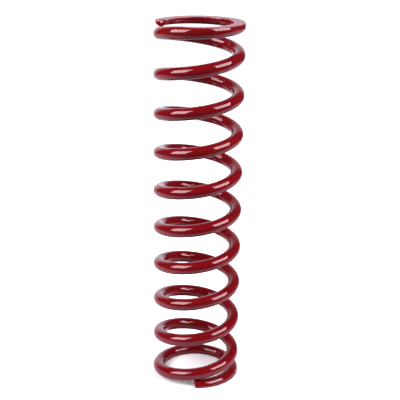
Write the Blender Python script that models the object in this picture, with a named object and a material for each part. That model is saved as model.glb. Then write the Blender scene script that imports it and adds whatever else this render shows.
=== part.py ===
"""A linear automotive coil spring, wound right-handed from round wire, closed and ground flat at both ends.

It stands on its lower ground end: the origin is the centre of that end, +Z runs up the spring, metres.
One wire makes the whole spring. It is divided here at upright planes through the spring's axis, so that its
coils can close up: the two end coils stay whole, and the active wire between them is cut into quarter turns.
"""

import math

import bmesh
import bpy
from mathutils import Matrix, Vector

# Driving dimensions, in metres, turns and degrees
INSIDE_DIAMETER = 0.0635
WIRE_DIAMETER = 0.0120
FREE_LENGTH = 0.361
WHOLE_TURNS = 10
BOTTOM_TIP_ANGLE = -92.0
TOP_TIP_ANGLE = 168.0

# End coils. The wire's centre starts TIP_DEPTH inside the ground face, climbs slowly round the closed coil,
# and then leads out over LEAD_TURNS into the active coils, just clear of its own tip.
CLOSED_RISE = 0.0123
BOTTOM_TIP_DEPTH = 0.0006
BOTTOM_DEAD_PITCH = 0.0040
BOTTOM_LEAD_TURNS = 0.36
TOP_TIP_DEPTH = 0.0002
TOP_DEAD_PITCH = 0.0058
TOP_LEAD_TURNS = 0.38

# Division of the wire. A segment is named for the side its middle faces, and spans a quarter turn.
SIDES = ("right", "back", "left", "front")
QUARTER_ANGLE = 90.0
FIRST_SIDE_START = -45.0
SEGMENT_GAP = 0.0003

# Mesh fineness
STEPS_PER_QUARTER = 9
BEVEL_RESOLUTION = 4
WELD_DISTANCE = 1e-6
SHARP_ANGLE = 40.0

WIRE_RADIUS = WIRE_DIAMETER / 2
COIL_RADIUS = (INSIDE_DIAMETER + WIRE_DIAMETER) / 2
TOTAL_TURNS = WHOLE_TURNS + (TOP_TIP_ANGLE - BOTTOM_TIP_ANGLE) / 360
ACTIVE_PITCH = (FREE_LENGTH - BOTTOM_TIP_DEPTH - TOP_TIP_DEPTH - 2 * CLOSED_RISE) / (TOTAL_TURNS - 2)

# How far round itself an end coil's upright cut reaches, so that it misses the coils beside and below
CUT_BESIDE = 2 * WIRE_DIAMETER
CUT_BELOW = 0.65 * WIRE_DIAMETER

COATING_RED = (0.27, 0.012, 0.018, 1.0)
COATING_ROUGHNESS = 0.22


def ramp(t):
    """Integral of the smooth step: 0 before t = 0, then curving up to a slope of 1 from t = 1 on."""
    c = min(max(t, 0.0), 1.0)
    return c**3 - c**4 / 2 + max(t - 1.0, 0.0)


def end_coil_depth(turns, tip_depth, dead_pitch, lead_turns):
    """How far the wire's centre is from the ground face, this many turns from the tip."""
    pitch_gain = ACTIVE_PITCH - dead_pitch
    lead_start = 1 - lead_turns / 2 - (CLOSED_RISE - dead_pitch) / pitch_gain
    lead_in = pitch_gain * lead_turns * ramp((turns - lead_start) / lead_turns)
    return tip_depth + dead_pitch * turns + lead_in


def wire_mesh(name, points):
    """A round wire through the points, as a mesh whose end caps are welded on."""
    curve = bpy.data.curves.new(name + "_path", "CURVE")
    curve.dimensions = "3D"
    curve.bevel_depth = WIRE_RADIUS
    curve.bevel_resolution = BEVEL_RESOLUTION
    curve.use_fill_caps = True
    spline = curve.splines.new("POLY")
    spline.points.add(len(points) - 1)
    for spline_point, point in zip(spline.points, points):
        spline_point.co = (*point, 1.0)
    wire = bpy.data.objects.new(name + "_path", curve)
    bpy.context.scene.collection.objects.link(wire)
    evaluated = wire.evaluated_get(bpy.context.evaluated_depsgraph_get())
    mesh = bpy.data.meshes.new_from_object(evaluated)
    mesh.name = name
    bpy.data.objects.remove(wire)
    edit = bmesh.new()
    edit.from_mesh(mesh)
    bmesh.ops.remove_doubles(edit, verts=edit.verts, dist=WELD_DISTANCE)
    edit.to_mesh(mesh)
    edit.free()
    return mesh


def slice_flat(mesh, point, outward, beside=math.inf, below=math.inf):
    """Cuts off what lies outward of a plane and closes the cut flat.

    Only faces within these distances beside and below the plane's point are cut.
    """
    edit = bmesh.new()
    edit.from_mesh(mesh)
    faces = []
    for face in edit.faces:
        offset = face.calc_center_median() - point
        if offset.xy.length < beside and offset.z > -below:
            faces.append(face)
    edges = {e for f in faces for e in f.edges}
    verts = {v for f in faces for v in f.verts}
    bmesh.ops.bisect_plane(
        edit,
        geom=[*verts, *edges, *faces],
        dist=WELD_DISTANCE,
        plane_co=point,
        plane_no=outward,
        clear_outer=True,
    )
    rim = [e for e in edit.edges if e.is_boundary]
    bmesh.ops.holes_fill(edit, edges=rim, sides=0)
    bmesh.ops.recalc_face_normals(edit, faces=edit.faces)
    edit.to_mesh(mesh)
    edit.free()


def on_coil(angle, height):
    """The centreline's point at this angle, in degrees about the spring's axis, and this height."""
    turned = math.radians(angle)
    return Vector((COIL_RADIUS * math.cos(turned), COIL_RADIUS * math.sin(turned), height))


def along_coil(angle):
    """The level direction in which the wire runs at this angle."""
    turned = math.radians(angle)
    return Vector((-math.sin(turned), math.cos(turned), 0.0))


def end_coil_mesh(name, tip_angle, end_angle, tip_depth, dead_pitch, lead_turns):
    """A closed end coil, ground flat at z = 0, that winds upward from its tip to the cut at end_angle."""
    step = QUARTER_ANGLE / STEPS_PER_QUARTER
    steps = math.ceil((end_angle - tip_angle) / step) + 1
    points = []
    for i in range(steps + 1):
        turns = i * step / 360
        depth = end_coil_depth(turns, tip_depth, dead_pitch, lead_turns)
        points.append(on_coil(tip_angle + i * step, depth))
    mesh = wire_mesh(name, points)
    slice_flat(mesh, Vector((0.0, 0.0, 0.0)), Vector((0.0, 0.0, -1.0)))
    end_turns = (end_angle - tip_angle) / 360
    end_depth = end_coil_depth(end_turns, tip_depth, dead_pitch, lead_turns)
    outward = along_coil(end_angle)
    cut_point = on_coil(end_angle, end_depth) - outward * SEGMENT_GAP / 2
    slice_flat(mesh, cut_point, outward, beside=CUT_BESIDE, below=CUT_BELOW)
    return mesh


def quarter_turn_mesh(name):
    """A quarter turn of active wire, centred on the +X side at z = 0, between two upright cuts."""
    half = QUARTER_ANGLE / 2
    step = QUARTER_ANGLE / STEPS_PER_QUARTER
    points = []
    for i in range(-1, STEPS_PER_QUARTER + 2):
        angle = i * step - half
        points.append(on_coil(angle, ACTIVE_PITCH * angle / 360))
    mesh = wire_mesh(name, points)
    for angle, sense in ((-half, -1.0), (half, 1.0)):
        outward = along_coil(angle) * sense
        cut_point = on_coil(angle, ACTIVE_PITCH * angle / 360) - outward * SEGMENT_GAP / 2
        slice_flat(mesh, cut_point, outward)
    return mesh


def coating(name, red):
    """Glossy red powder coat on steel."""
    material = bpy.data.materials.new(name)
    material.use_nodes = True
    shader = material.node_tree.nodes["Principled BSDF"]
    shader.inputs["Base Color"].default_value = red
    shader.inputs["Metallic"].default_value = 0.0
    shader.inputs["Roughness"].default_value = COATING_ROUGHNESS
    shader.inputs["Coat Weight"].default_value = 1.0
    return material


def add_piece(collection, name, mesh, height, spin=0.0, upside_down=False):
    """Places a piece with its origin on the spring's axis, at this height, turned by spin degrees about it."""
    piece = bpy.data.objects.new(name, mesh)
    turn = Matrix.Rotation(math.radians(spin), 4, "Z")
    flip = Matrix.Rotation(math.pi, 4, "X") if upside_down else Matrix.Identity(4)
    piece.matrix_world = Matrix.Translation((0.0, 0.0, height)) @ turn @ flip
    collection.objects.link(piece)
    return piece


def finish_mesh(mesh, material):
    """Gives a mesh its material, and shades it smooth except at its cut edges."""
    mesh.materials.append(material)
    mesh.shade_smooth()
    mesh.set_sharp_from_angle(angle=math.radians(SHARP_ANGLE))


def next_side_start(angle):
    """The first boundary between two sides at or after this angle."""
    quarters = math.ceil((angle - FIRST_SIDE_START) / QUARTER_ANGLE)
    return FIRST_SIDE_START + quarters * QUARTER_ANGLE


def build():
    for old in list(bpy.data.objects):
        bpy.data.objects.remove(old)
    spring = bpy.data.collections.new("coil_spring")
    bpy.context.scene.collection.children.link(spring)
    red = coating("red_powder_coat", COATING_RED)

    # The bottom end coil runs a whole turn past its tip, to the next boundary between two sides.
    bottom_end = next_side_start(BOTTOM_TIP_ANGLE + 360)
    bottom_shape = (BOTTOM_TIP_DEPTH, BOTTOM_DEAD_PITCH, BOTTOM_LEAD_TURNS)
    bottom_mesh = end_coil_mesh("bottom_end_coil", BOTTOM_TIP_ANGLE, bottom_end, *bottom_shape)
    add_piece(spring, "bottom_end_coil", bottom_mesh, 0.0)

    # Turned over about X, an angle a becomes -a: the top coil is wound from -TOP_TIP_ANGLE in its own frame.
    top_end = next_side_start(360 - TOP_TIP_ANGLE)
    top_shape = (TOP_TIP_DEPTH, TOP_DEAD_PITCH, TOP_LEAD_TURNS)
    top_mesh = end_coil_mesh("top_end_coil", -TOP_TIP_ANGLE, top_end, *top_shape)
    add_piece(spring, "top_end_coil", top_mesh, FREE_LENGTH, upside_down=True)

    # Quarter turns of active wire fill the space between, numbered by coil from the bottom.
    active_turns = TOTAL_TURNS - (bottom_end - BOTTOM_TIP_ANGLE) / 360 - (top_end + TOP_TIP_ANGLE) / 360
    segments = round(active_turns * 360 / QUARTER_ANGLE)
    quarter = quarter_turn_mesh("quarter_turn")
    rise = ACTIVE_PITCH * QUARTER_ANGLE / 360
    start_height = end_coil_depth((bottom_end - BOTTOM_TIP_ANGLE) / 360, *bottom_shape)
    for i in range(segments):
        middle = bottom_end + (i + 0.5) * QUARTER_ANGLE
        side = SIDES[round(middle / QUARTER_ANGLE) % len(SIDES)]
        coil = 1 + math.floor((middle - BOTTOM_TIP_ANGLE) / 360)
        height = start_height + (i + 0.5) * rise
        add_piece(spring, f"coil_{coil:02d}_{side}", quarter, height, spin=middle)

    for mesh in (bottom_mesh, top_mesh, quarter):
        finish_mesh(mesh, red)


build()
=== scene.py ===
import math
from collections import namedtuple

import bpy
import numpy as np
from mathutils import Matrix, Quaternion, Vector


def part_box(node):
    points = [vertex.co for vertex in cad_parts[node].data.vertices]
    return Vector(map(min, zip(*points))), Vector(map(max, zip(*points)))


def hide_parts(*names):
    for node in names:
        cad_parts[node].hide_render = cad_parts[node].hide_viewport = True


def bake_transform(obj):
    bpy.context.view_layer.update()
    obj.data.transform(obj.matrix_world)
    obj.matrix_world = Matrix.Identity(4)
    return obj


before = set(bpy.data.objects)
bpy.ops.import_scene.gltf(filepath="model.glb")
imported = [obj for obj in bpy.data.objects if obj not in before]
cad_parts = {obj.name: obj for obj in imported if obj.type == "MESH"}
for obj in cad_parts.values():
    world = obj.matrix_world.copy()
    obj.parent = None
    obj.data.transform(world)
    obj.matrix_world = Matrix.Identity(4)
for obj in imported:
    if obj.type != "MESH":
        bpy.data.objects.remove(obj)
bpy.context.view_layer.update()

# ---------------------------------------------------------------------------
# The spring's sizes, in metres and turns. The coil's height comes from the frame.
# ---------------------------------------------------------------------------
WIRE_RADIUS = 0.0060
COIL_RADIUS = 0.03775
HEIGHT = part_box("top_end_coil")[1][2]
BOTTOM_TIP_ANGLE = -92.0
TOP_TIP_ANGLE = 168.0
TURNS = 10 + (TOP_TIP_ANGLE - BOTTOM_TIP_ANGLE) / 360
TURN_LENGTH = 2 * math.pi * COIL_RADIUS

# End coils: the wire's centre starts at the tip depth inside the ground face, climbs slowly, then leads out.
CLOSED_RISE = 0.0123
BOTTOM_TIP_DEPTH = 0.0006
BOTTOM_DEAD_PITCH = 0.0040
BOTTOM_LEAD_TURNS = 0.36
TOP_TIP_DEPTH = 0.0002
TOP_DEAD_PITCH = 0.0058
TOP_LEAD_TURNS = 0.38
ACTIVE_PITCH = (HEIGHT - BOTTOM_TIP_DEPTH - TOP_TIP_DEPTH - 2 * CLOSED_RISE) / (TURNS - 2)

# How the coils close up. The active wire starts 47 degrees past the first whole turn from the bottom tip.
# It shares the stroke evenly, easing in over EASE_TURNS at each end.
FIRST_ACTIVE = 1 + 47 / 360
ACTIVE_TURNS = 8.5
LAST_ACTIVE = FIRST_ACTIVE + ACTIVE_TURNS
EASE_TURNS = 0.75

# Mesh fineness. A ground flat spans FLAT_HALF sides each way from its middle, and its edge is rounded.
RINGS_PER_TURN = 120
SIDES = 64
FLAT_HALF = 6
EDGE_ROUND = 0.00035
SHARP_ANGLE = math.radians(50)
SLOPE_STEP = 1e-4

# The tips are sheared at a slight angle, and the lean dies out a few millimetres along the wire.
TIP_LEAN = math.radians(15)
TIP_LEAN_FADE = 0.012

# The cut's edge is rounded by a few rings close to the tip, each drawn in by a share of EDGE_ROUND.
TIP_RING_DISTANCES = (0.0, 0.0001, 0.0003, 0.0006)
TIP_RING_INSETS = (1.3, 0.7, 0.2, 0.0)
BODY_START = 0.0009
TIP_WEAR_REACH = 0.0007
CAP_RING_SCALES = (0.9, 0.75, 0.6, 0.45, 0.3, 0.15, 0.0)

# The cut end face, in wire radii: a low dome, in two halves tilted either way from a ridge, with ripples.
FACE_DOME = 0.05
FACE_DOME_BEND = 1.4
FACE_RIDGE_ACROSS = 0.8
FACE_RIDGE_DOWN = 0.6
FACE_RIDGE_OFFSET = 0.1
FACE_TILT = 0.10
FACE_RIPPLE = 0.03
FACE_RIPPLE_BEND = 5

# ---------------------------------------------------------------------------
# The powder coat. Colours are linear, and noise scales are in cells per metre.
# ---------------------------------------------------------------------------
COAT_DEEP = (0.105, 0.0018, 0.0034, 1)
COAT_BRIGHT = (0.123, 0.0022, 0.0042, 1)
COAT_SPECK = (0.165, 0.008, 0.012, 1)
COAT_WORN = (0.55, 0.33, 0.33, 1)
COAT_IOR = 1.5
COAT_SMOOTHEST = 0.03
COAT_ROUGHEST = 0.05
GROUND_ROUGHNESS = 0.25
SPECK_AMOUNT = 0.15
WEAR_AMOUNT = 0.55
DRIFT_SCALE = 45.0
SPECK_SCALE = 2600.0
WEAR_SCALE = 900.0
ROUGHNESS_SCALE = 300.0
PEEL_SCALE = 420.0
FINE_PEEL_SCALE = 1300.0
FINE_PEEL_AMOUNT = 0.25
GRINDING_SCALE = (4000.0, 260.0, 1.0)
GRINDING_AMOUNT = 0.3
BUMP_STRENGTH = 0.10
BUMP_DISTANCE = 0.00001

# ---------------------------------------------------------------------------
# The stage. The white sheet reaches further behind and beside the object than in front of it.
# ---------------------------------------------------------------------------
SHEET_RADIUS = 6.0
SHEET_DROP = 0.0002
SHEET_ROUGHNESS = 0.7
SHEET_SPECULAR = 0.1
SHEET_CENTRE = (0.0, 0.5, 0.0)
SHEET_SQUEEZE = (0.5, 1.0, 1.0)
SHEET_FADE_START = 0.52
SHEET_FADE_END = 0.90

# What the camera sees of the sheet is whiter than what the object mirrors, and glows more further out.
SHEET_REFLECTED = (0.55, 0.58, 0.63, 1.0)
SHEET_SEEN = (0.81, 0.94, 0.90, 1.0)
GLOW_START = 0.04
GLOW_END = 0.25
GLOW_NEAR = 0.04
GLOW_FAR = 1.0

# The room that the object mirrors: a white wall behind it, which fades out away from its middle.
ROOM_LIGHT = 0.04
WALL_LIGHT = 1.15
WALL_DIRECTION = (-0.13, 0.99, 0.05)
WALL_FADE_COSINE = 0.68
WALL_TINT = (1.03, 1.0, 1.14, 1.0)
BACKDROP_LIGHT = 1.3
LIGHT_TINT = (1.22, 1.0, 1.10)

CAMERA_PLACE = (0, -0.9266, 0.4894)
CAMERA_LOOKS_DOWN = 18.166
CAMERA_ROLL = 0.73
CAMERA_LENS = 88.6
CAMERA_SENSOR = 36.0
CAMERA_SHIFT = 0.0062
CAMERA_NEAREST = 0.05


# ---------------------------------------------------------------------------
# Shape of the wire
# ---------------------------------------------------------------------------
def ramp(t):
    """Integral of the smooth step: 0 before t = 0, then curving up to a slope of 1 from t = 1 on."""
    c = np.clip(t, 0, 1)
    return c**3 - c**4 / 2 + np.maximum(t - 1, 0)


def end_depth(turns, tip_depth, dead_pitch, lead_turns):
    """The wire centre's distance from the ground face, so many turns from the tip."""
    gain = ACTIVE_PITCH - dead_pitch
    start = 1 - lead_turns / 2 - (CLOSED_RISE - dead_pitch) / gain
    return tip_depth + dead_pitch * turns + gain * lead_turns * ramp((turns - start) / lead_turns)


def wire_height(u):
    """Height of the wire's centre, u turns from the bottom tip."""
    low = end_depth(u, BOTTOM_TIP_DEPTH, BOTTOM_DEAD_PITCH, BOTTOM_LEAD_TURNS)
    high = HEIGHT - end_depth(TURNS - u, TOP_TIP_DEPTH, TOP_DEAD_PITCH, TOP_LEAD_TURNS)
    return np.where(u < TURNS / 2, low, high)


def stroke_share(u):
    """The share of the stroke that the wire moves by, u turns from the bottom tip, from 0 up to 1."""
    last = LAST_ACTIVE - EASE_TURNS
    moved = ramp((u - FIRST_ACTIVE) / EASE_TURNS) - ramp((u - last) / EASE_TURNS)
    return moved * EASE_TURNS / (last - FIRST_ACTIVE)


def ring_section(drop):
    """The wire's section, ground off this far below its centre. All lengths are in wire radii.

    Returns the outline as (outward, downward) points, how much each point is on the ground flat, and how
    much it is on the flat's edge.
    """
    k = np.arange(SIDES)
    k = np.where(k > SIDES // 2, k - SIDES, k)
    step = 2 * math.pi / SIDES
    angle = k * step
    ground = np.zeros(SIDES)
    edge = np.zeros(SIDES)
    if drop >= 1:
        return np.stack([np.sin(angle), np.cos(angle)], 1), ground, edge
    half = math.acos(max(drop, -1.0))
    if half < (FLAT_HALF + 0.5) * step:
        outline = np.stack([np.sin(angle), np.minimum(np.cos(angle), drop)], 1)
        ground[np.abs(angle) < half] = 1
        edge[np.abs(np.abs(angle) - half) < step] = 0.5
        return outline, ground, edge
    inset = EDGE_ROUND / WIRE_RADIUS
    reach = math.sin(half)
    arc_start = half + inset
    outline = np.zeros((SIDES, 2))
    for i, n in enumerate(k):
        side = -1 if n < 0 else 1
        m = abs(n)
        if m < FLAT_HALF:
            outline[i] = (side * (reach - inset) * m / (FLAT_HALF - 1), drop)
            ground[i] = 1
            edge[i] = 1 if m == FLAT_HALF - 1 else 0
        elif m == FLAT_HALF:
            corner = Vector((reach, drop))
            arc = Vector((math.sin(arc_start), math.cos(arc_start)))
            flat = Vector((reach - inset, drop))
            rounded = corner * 0.5 + (arc + flat) * 0.25
            outline[i] = (side * rounded.x, rounded.y)
            ground[i] = 0.5
            edge[i] = 1
        else:
            share = (m - FLAT_HALF - 1) / (SIDES // 2 - FLAT_HALF - 1)
            a = arc_start + share * (math.pi - arc_start)
            outline[i] = (side * math.sin(a), math.cos(a))
            edge[i] = 1 if m == FLAT_HALF + 1 else 0
    return outline, ground, edge


def wire_frame(u):
    """The wire's centre, outward, downward and forward ways and slope, u turns from the bottom tip."""
    a = math.radians(BOTTOM_TIP_ANGLE) + 2 * math.pi * u
    climb = float(wire_height(u + SLOPE_STEP) - wire_height(u - SLOPE_STEP)) / (2 * SLOPE_STEP)
    slope = math.atan(climb / (2 * math.pi * COIL_RADIUS))
    centre = np.array([COIL_RADIUS * math.cos(a), COIL_RADIUS * math.sin(a), float(wire_height(u))])
    outward = np.array([math.cos(a), math.sin(a), 0.0])
    along = (-math.sin(a) * math.cos(slope), math.cos(a) * math.cos(slope), math.sin(slope))
    forward = np.array(along)
    downward = np.cross(forward, outward)
    return centre, outward, downward, forward, slope


def end_face_bulge(across, down):
    """How far the cut end face stands out at a point of the section, in wire radii."""
    dome = FACE_DOME * np.cos(FACE_DOME_BEND * across) * np.cos(FACE_DOME_BEND * down)
    ridge = across * FACE_RIDGE_ACROSS + down * FACE_RIDGE_DOWN
    tilt = FACE_TILT * np.abs(ridge - FACE_RIDGE_OFFSET)
    return dome - tilt + FACE_RIPPLE * np.sin(FACE_RIPPLE_BEND * down)


# ---------------------------------------------------------------------------
# Mesh of the wire
# ---------------------------------------------------------------------------
Ring = namedtuple("Ring", "numbers places outline forward share")


class WireMesh:
    """The wire's mesh as it grows: the places of its points, what is known of each point, and its faces."""

    def __init__(self):
        self.places = []
        self.shares = []
        self.ground = []
        self.edge = []
        self.faces = []
        self.count = 0

    def add_points(self, places, share, ground, edge):
        """Adds points that all take this share of the stroke, and returns their numbers."""
        numbers = np.arange(self.count, self.count + len(places))
        self.count += len(places)
        self.places.append(places)
        self.shares.append(np.full(len(places), share))
        self.ground.append(ground)
        self.edge.append(edge)
        return numbers

    def add_ring(self, u, inset):
        """Adds the wire's ring u turns from the bottom tip, drawn in by inset."""
        centre, outward, downward, forward, slope = wire_frame(u)
        outline, ground, edge = self.ground_section(centre[2], WIRE_RADIUS * math.cos(slope))
        middle = outline.mean(0)
        outline = middle + (outline - middle) * (1 - inset / WIRE_RADIUS)

        # The cut at each tip leans: the wire is longest on the side away from the ground face.
        from_tip = min(u, TURNS - u) * TURN_LENGTH
        lean = math.tan(TIP_LEAN) * max(0.0, 1 - from_tip / TIP_LEAN_FADE) ** 2
        at_bottom = u < 1
        ground_side = outline[:, 1] if at_bottom else -outline[:, 1]
        back = WIRE_RADIUS * (ground_side + 1) * lean * (1 if at_bottom else -1)
        across = WIRE_RADIUS * (outline[:, :1] * outward + outline[:, 1:] * downward)
        places = centre + across + back[:, None] * forward
        places[:, 2] = np.clip(places[:, 2], 0, HEIGHT)

        near_tip = 1.0 if from_tip < TIP_WEAR_REACH else 0.0
        share = float(stroke_share(u))
        numbers = self.add_points(places, share, ground, np.maximum(edge, near_tip))
        return Ring(numbers, places, outline, forward, share)

    @staticmethod
    def ground_section(height, thick):
        """The section of the wire whose centre is at this height, ground off by whichever end is near."""
        from_top = (HEIGHT - height) / thick
        if from_top >= 1:
            return ring_section(height / thick)
        outline, ground, edge = ring_section(from_top)
        turn_back = (SIDES // 2 - np.arange(SIDES)) % SIDES
        return outline[turn_back] * (1, -1), ground[turn_back], edge[turn_back]

    def join(self, near, far):
        """Adds the faces between two neighbouring rings."""
        for j in range(SIDES):
            k = (j + 1) % SIDES
            self.faces.append((near.numbers[j], far.numbers[j], far.numbers[k], near.numbers[k]))

    def close_end(self, ring, way):
        """Closes a cut end with inner rings and a centre point. Way is -1 at the bottom tip, 1 at the top.

        The inner rings carry the end face's bulge, less what the rim's own points would stand out by.
        """
        outline_middle = ring.outline.mean(0)
        middle = ring.places.mean(0)
        base = end_face_bulge(*ring.outline.T)
        previous = ring.numbers
        for scale in CAP_RING_SCALES:
            count = SIDES if scale else 1
            flat = middle + (ring.places[:count] - middle) * scale
            local = outline_middle + (ring.outline[:count] - outline_middle) * scale
            out = end_face_bulge(*local.T) - base[:count] * scale - (1 - scale) * base.mean()
            places = flat + ring.forward * way * WIRE_RADIUS * out[:, None]
            inner = self.add_points(places, ring.share, np.zeros(count), np.zeros(count))
            inner = np.resize(inner, SIDES)
            for j in range(SIDES):
                k = (j + 1) % SIDES
                face = (previous[j], previous[k], inner[k], inner[j])
                face = face if scale else face[:3]
                self.faces.append(face if way < 0 else face[::-1])
            previous = inner


def smooth_step_inverse(share):
    """The place between 0 and 1 where the smooth step 3t^2 - 2t^3 reaches this share."""
    return 0.5 - np.sin(np.arcsin(1 - 2 * np.clip(share, 0, 1)) / 3)


def build_wire():
    """One closed mesh for the whole wire. Returns the object and its vertices' places at rest.

    The mesh is laid out straight, each point where the blend between the end coils gives it its share.
    """
    tip_turns = np.array(TIP_RING_DISTANCES) / TURN_LENGTH
    tip_insets = EDGE_ROUND * np.array(TIP_RING_INSETS)
    body_start = BODY_START / TURN_LENGTH
    body = np.linspace(body_start, TURNS - body_start, round(TURNS * RINGS_PER_TURN))
    turns = np.concatenate([tip_turns, body, TURNS - tip_turns[::-1]])
    insets = np.concatenate([tip_insets, np.zeros(len(body)), tip_insets[::-1]])

    grown = WireMesh()
    rings = [grown.add_ring(u, inset) for u, inset in zip(turns, insets)]
    for near, far in zip(rings, rings[1:]):
        grown.join(near, far)
    grown.close_end(rings[0], -1)
    grown.close_end(rings[-1], 1)

    rest_places = np.concatenate(grown.places)
    straight = np.zeros((grown.count, 3))
    straight[:, 0] = smooth_step_inverse(np.concatenate(grown.shares))
    mesh = bpy.data.meshes.new("spring_wire")
    mesh.from_pydata(straight.tolist(), [], [tuple(int(i) for i in face) for face in grown.faces])
    for name, values in (("ground", grown.ground), ("edge", grown.edge)):
        layer = mesh.attributes.new(name, "FLOAT", "POINT")
        layer.data.foreach_set("value", np.concatenate(values).astype(np.float32))
    layer = mesh.attributes.new("rest_place", "FLOAT_VECTOR", "POINT")
    layer.data.foreach_set("vector", rest_places.astype(np.float32).ravel())
    made = bpy.data.objects.new("spring_wire", mesh)
    bpy.context.scene.collection.objects.link(made)
    return made, rest_places


# ---------------------------------------------------------------------------
# Materials and surroundings, made of nodes
# ---------------------------------------------------------------------------
class Nodes:
    """The nodes of a material or a world, with short ways to add and link them."""

    def __init__(self, owner):
        owner.use_nodes = True
        self.tree = owner.node_tree

    def existing(self, name):
        return self.tree.nodes[name]

    def add(self, kind, **settings):
        """Adds a node with these settings."""
        made = self.tree.nodes.new(kind)
        for key, value in settings.items():
            setattr(made, key, value)
        return made

    def feed(self, socket, value):
        """Gives an input its value: another node's output, or a plain number, vector or colour."""
        if isinstance(value, bpy.types.NodeSocket):
            self.tree.links.new(value, socket)
        else:
            socket.default_value = value

    def attribute(self, name, output="Fac"):
        return self.add("ShaderNodeAttribute", attribute_name=name).outputs[output]

    def noise(self, place, scale, detail, roughness=0.5):
        made = self.add("ShaderNodeTexNoise")
        self.feed(made.inputs["Vector"], place)
        self.feed(made.inputs["Scale"], scale)
        self.feed(made.inputs["Detail"], detail)
        self.feed(made.inputs["Roughness"], roughness)
        return made.outputs["Fac"]

    def between(self, value, low, high, to_low=0.0, to_high=1.0, interpolation="LINEAR"):
        """Takes low to to_low and high to to_high, and is level beyond them."""
        made = self.add("ShaderNodeMapRange", interpolation_type=interpolation)
        self.feed(made.inputs["Value"], value)
        self.feed(made.inputs["From Min"], low)
        self.feed(made.inputs["From Max"], high)
        self.feed(made.inputs["To Min"], to_low)
        self.feed(made.inputs["To Max"], to_high)
        return made.outputs["Result"]

    def maths(self, operation, a, b):
        made = self.add("ShaderNodeMath", operation=operation)
        self.feed(made.inputs[0], a)
        self.feed(made.inputs[1], b)
        return made.outputs["Value"]

    def vector_maths(self, operation, a, b=(0.0, 0.0, 0.0), output="Value"):
        made = self.add("ShaderNodeVectorMath", operation=operation)
        self.feed(made.inputs[0], a)
        self.feed(made.inputs[1], b)
        return made.outputs[output]

    def mix(self, factor, a, b):
        """A colour between a and b."""
        made = self.add("ShaderNodeMix", data_type="RGBA")
        self.feed(made.inputs["Factor"], factor)
        self.feed(made.inputs["A"], a)
        self.feed(made.inputs["B"], b)
        return made.outputs["Result"]

    def mix_shaders(self, factor, first, second):
        made = self.add("ShaderNodeMixShader")
        self.feed(made.inputs["Fac"], factor)
        self.feed(made.inputs[1], first)
        self.feed(made.inputs[2], second)
        return made.outputs["Shader"]

    def seen_by_camera(self):
        """1 for what the camera sees directly, and 0 for what is mirrored or lights something."""
        return self.add("ShaderNodeLightPath").outputs["Is Camera Ray"]


def red_powder_coat():
    """Glossy red powder coat: orange peel, slight colour drift, grinding marks on the flats, worn edges."""
    material = bpy.data.materials.new("red_powder_coat_gloss")
    nodes = Nodes(material)
    shader = nodes.existing("Principled BSDF")
    place = nodes.attribute("rest_place", "Vector")
    ground = nodes.attribute("ground")
    edge = nodes.attribute("edge")

    drift = nodes.between(nodes.noise(place, DRIFT_SCALE, detail=3.0), low=0.3, high=0.7)
    colour = nodes.mix(drift, COAT_DEEP, COAT_BRIGHT)
    speck = nodes.between(nodes.noise(place, SPECK_SCALE, detail=1.0), low=0.35, high=0.75)
    colour = nodes.mix(nodes.maths("MULTIPLY", speck, SPECK_AMOUNT), colour, COAT_SPECK)
    patches = nodes.between(nodes.noise(place, WEAR_SCALE, detail=3.0), low=0.52, high=0.66)
    worn = nodes.maths("MULTIPLY", edge, patches)
    colour = nodes.mix(nodes.maths("MULTIPLY", worn, WEAR_AMOUNT), colour, COAT_WORN)
    nodes.feed(shader.inputs["Base Color"], colour)

    dull = nodes.maths("MULTIPLY", ground, GROUND_ROUGHNESS)
    cloudy = nodes.noise(place, ROUGHNESS_SCALE, detail=2.0)
    rough = nodes.between(cloudy, 0.2, 0.8, COAT_SMOOTHEST, COAT_ROUGHEST)
    nodes.feed(shader.inputs["Roughness"], nodes.maths("ADD", rough, dull))
    nodes.feed(shader.inputs["IOR"], COAT_IOR)

    peel = nodes.noise(place, PEEL_SCALE, detail=2.0, roughness=0.4)
    fine_peel = nodes.noise(place, FINE_PEEL_SCALE, detail=1.0)
    height = nodes.maths("ADD", peel, nodes.maths("MULTIPLY", fine_peel, FINE_PEEL_AMOUNT))
    stretched = nodes.add("ShaderNodeMapping", vector_type="POINT")
    nodes.feed(stretched.inputs["Vector"], place)
    nodes.feed(stretched.inputs["Scale"], GRINDING_SCALE)
    grinding = nodes.noise(stretched.outputs["Vector"], scale=1.0, detail=2.0)
    marks = nodes.maths("MULTIPLY", nodes.maths("MULTIPLY", grinding, ground), GRINDING_AMOUNT)
    bump = nodes.add("ShaderNodeBump")
    nodes.feed(bump.inputs["Strength"], BUMP_STRENGTH)
    nodes.feed(bump.inputs["Distance"], BUMP_DISTANCE)
    nodes.feed(bump.inputs["Height"], nodes.maths("ADD", height, marks))
    nodes.feed(shader.inputs["Normal"], bump.outputs["Normal"])
    return material


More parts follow.
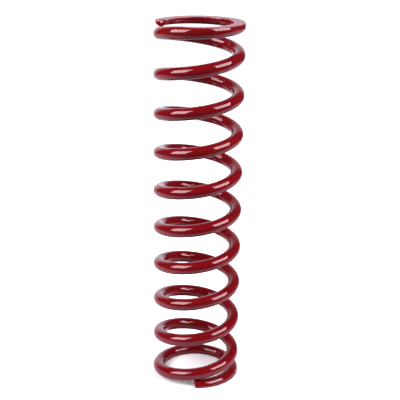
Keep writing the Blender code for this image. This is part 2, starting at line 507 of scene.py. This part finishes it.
def pale_floor():
    """A white sheet under and behind the object. It fades out into the surroundings at its rim."""
    bpy.ops.mesh.primitive_circle_add(
        vertices=96, radius=SHEET_RADIUS, fill_type="NGON", location=(0, 0, -SHEET_DROP)
    )
    floor = bpy.context.object
    floor.name = "studio_floor"
    material = bpy.data.materials.new("studio_floor_white")
    nodes = Nodes(material)
    shader = nodes.existing("Principled BSDF")
    place = nodes.add("ShaderNodeNewGeometry").outputs["Position"]
    camera_ray = nodes.seen_by_camera()

    base = nodes.mix(camera_ray, SHEET_REFLECTED, SHEET_SEEN)
    from_origin = nodes.vector_maths("LENGTH", place)
    glow = nodes.between(from_origin, GLOW_START, GLOW_END, GLOW_NEAR, GLOW_FAR)
    nodes.feed(shader.inputs["Base Color"], base)
    nodes.feed(shader.inputs["Roughness"], SHEET_ROUGHNESS)
    nodes.feed(shader.inputs["Specular IOR Level"], SHEET_SPECULAR)
    nodes.feed(shader.inputs["Emission Color"], (1, 1, 1, 1))
    nodes.feed(shader.inputs["Emission Strength"], nodes.maths("MULTIPLY", camera_ray, glow))

    squeezed = nodes.vector_maths("MULTIPLY", place, SHEET_SQUEEZE, "Vector")
    off_centre = nodes.vector_maths("DISTANCE", squeezed, SHEET_CENTRE)
    fade = nodes.between(off_centre, SHEET_FADE_START, SHEET_FADE_END, interpolation="SMOOTHSTEP")
    clear = nodes.add("ShaderNodeBsdfTransparent").outputs["BSDF"]
    surface = nodes.mix_shaders(fade, shader.outputs["BSDF"], clear)
    nodes.feed(nodes.existing("Material Output").inputs["Surface"], surface)
    floor.data.materials.append(material)


def surroundings():
    """White to the camera. What the object mirrors is a white wall behind it in a dim room."""
    world = bpy.data.worlds.new("studio")
    bpy.context.scene.world = world
    nodes = Nodes(world)
    seen = nodes.existing("Background")
    nodes.feed(seen.inputs["Color"], (1, 1, 1, 1))
    nodes.feed(seen.inputs["Strength"], BACKDROP_LIGHT)

    looking = nodes.add("ShaderNodeTexCoord").outputs["Generated"]
    towards_wall = nodes.vector_maths("DOT_PRODUCT", looking, WALL_DIRECTION)
    wall = nodes.between(towards_wall, WALL_FADE_COSINE, 1.0, ROOM_LIGHT, WALL_LIGHT, "SMOOTHSTEP")
    mirrored = nodes.add("ShaderNodeBackground")
    nodes.feed(mirrored.inputs["Color"], WALL_TINT)
    nodes.feed(mirrored.inputs["Strength"], wall)
    camera_ray = nodes.seen_by_camera()
    both = nodes.mix_shaders(camera_ray, mirrored.outputs["Background"], seen.outputs["Background"])
    nodes.feed(nodes.existing("World Output").inputs["Surface"], both)


# ---------------------------------------------------------------------------
# Lights and camera
# ---------------------------------------------------------------------------
def softbox(name, azimuth, elevation, distance, width, height, radiance, roll=0, mirrored=True):
    """A rectangular light aimed at the object's middle. Azimuth 0 is the camera's side, +90 is +X."""
    a, e = math.radians(azimuth), math.radians(elevation)
    way = Vector((math.sin(a) * math.cos(e), -math.cos(a) * math.cos(e), math.sin(e)))
    data = bpy.data.lights.new(name, "AREA")
    data.shape = "RECTANGLE"
    data.size = width
    data.size_y = height
    data.energy = radiance * math.pi * width * height
    data.color = LIGHT_TINT
    light = bpy.data.objects.new(name, data)
    light.location = Vector((0, 0, HEIGHT / 2)) + way * distance
    turned = way.to_track_quat("Z", "Y") @ Quaternion((0, 0, 1), math.radians(roll))
    light.rotation_euler = turned.to_euler()
    light.visible_camera = False
    light.visible_glossy = mirrored
    bpy.context.scene.collection.objects.link(light)


def studio_lights():
    """Two softboxes that the coat mirrors, and three fills that only light it softly."""
    box = {"distance": 1.9, "radiance": 9.0}
    softbox("softbox_right", azimuth=63, elevation=38.5, width=1.34, height=1.2, roll=-8, **box)
    softbox("softbox_left", azimuth=-62, elevation=37.5, width=1.40, height=1.25, roll=8, **box)
    fill = {"elevation": 2, "distance": 2.5, "width": 1.5, "height": 1.0, "radiance": 8.0, "mirrored": False}
    softbox("side_fill_right", azimuth=88, **fill)
    softbox("side_fill_left", azimuth=-88, **fill)
    overhead = {"elevation": 78, "distance": 2.0, "width": 1.0, "height": 1.0, "radiance": 5.3}
    softbox("top_fill", azimuth=150, mirrored=False, **overhead)


def camera():
    data = bpy.data.cameras.new("camera")
    data.lens = CAMERA_LENS
    data.sensor_width = CAMERA_SENSOR
    data.shift_x = CAMERA_SHIFT
    data.clip_start = CAMERA_NEAREST
    seen_from = bpy.data.objects.new("camera", data)
    pitch = Matrix.Rotation(math.radians(90 - CAMERA_LOOKS_DOWN), 4, "X")
    roll = Matrix.Rotation(math.radians(CAMERA_ROLL), 4, "Z")
    seen_from.matrix_world = Matrix.Translation(CAMERA_PLACE) @ pitch @ roll
    bpy.context.scene.collection.objects.link(seen_from)
    bpy.context.scene.camera = seen_from


# ---------------------------------------------------------------------------
# The spring: laid out straight, then its points are moved to their places on the helix.
# ---------------------------------------------------------------------------
wire, rest_places = build_wire()
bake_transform(wire)
wire.data.vertices.foreach_set("co", rest_places.astype(np.float32).ravel())
wire.data.update()
wire.data.shade_smooth()
wire.data.set_sharp_from_angle(angle=SHARP_ANGLE)
wire.data.materials.append(red_powder_coat())
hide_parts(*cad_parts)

pale_floor()
surroundings()
studio_lights()
camera()
bpy.context.scene.view_settings.view_transform = "Standard"
